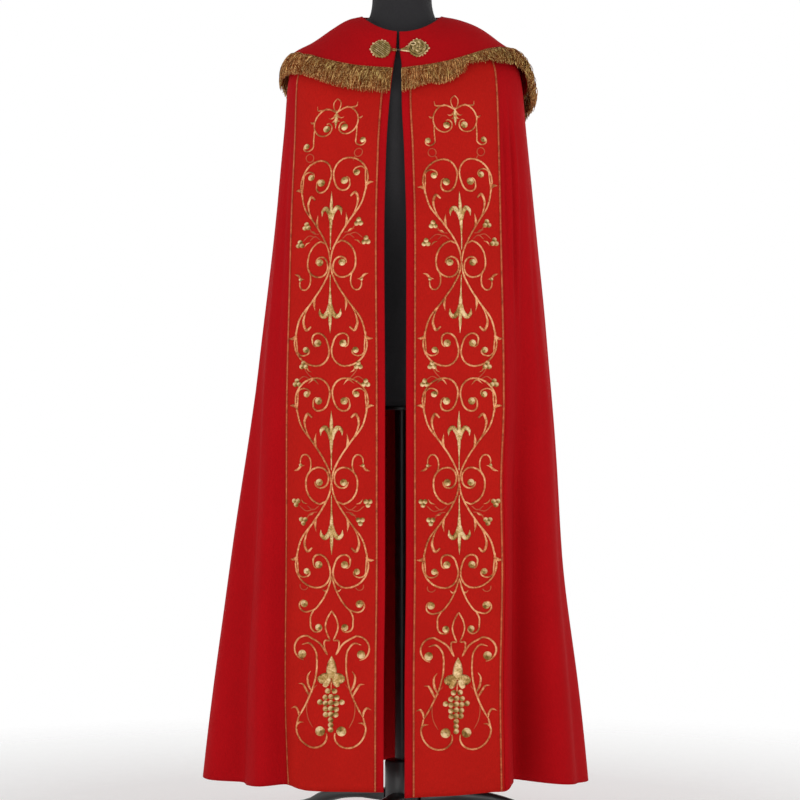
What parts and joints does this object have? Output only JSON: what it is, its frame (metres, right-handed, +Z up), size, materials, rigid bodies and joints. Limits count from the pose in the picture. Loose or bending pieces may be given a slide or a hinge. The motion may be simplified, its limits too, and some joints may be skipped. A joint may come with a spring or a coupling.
{
  "type": "cope vestment on dress form stand",
  "caption": "Long semicircular cope with shoulder cape, fringed hood and embroidered orphreys, clasped on a limbless dress form with a low tripod stand",
  "frame": {"origin": "on the floor under the middle of the whole object's bounding box", "axes": "+Z up along the stand's pole, the open front faces -Y, +X to the right as seen from the front"},
  "size_m": [0.7591, 0.5701, 1.69],
  "materials": {
    "cope_cloth": "deep red napped wool cloth, matte with a soft sheen",
    "orphrey_cloth": "brighter red fine twill, slightly smoother than the body cloth",
    "gold_thread": "couched gold metal thread and twisted gold cord",
    "gold_fringe": "gold bullion fringe of twisted strands on a woven heading",
    "hook_metal": "darkened small hook and eye",
    "form_cover": "smooth black jersey cover",
    "stand_black": "satin black paint",
    "foot_rubber": "matte black rubber pad"
  },
  "bodies": {
    "root": {"cope_back": "cope_cloth", "cope_front_left": "cope_cloth", "cope_front_right": "cope_cloth", "shoulder_cape": "cope_cloth", "orphrey_left": "orphrey_cloth", "orphrey_right": "orphrey_cloth", "braid_inner_left": "gold_thread", "braid_inner_right": "gold_thread", "braid_outer_left": "gold_thread", "braid_outer_right": "gold_thread", "clasp_medallion_left": "gold_thread", "clasp_medallion_right": "gold_thread", "hood_fringe": "gold_fringe", "clasp_hook": "hook_metal", "form_torso": "form_cover", "form_plate": "stand_black", "stand_pole": "stand_black", "stand_hub": "stand_black", "stand_leg_1": "stand_black", "stand_leg_2": "stand_black", "stand_leg_3": "stand_black", "foot_pad_1": "foot_rubber", "foot_pad_2": "foot_rubber", "foot_pad_3": "foot_rubber"}
  },
  "joints": []
}
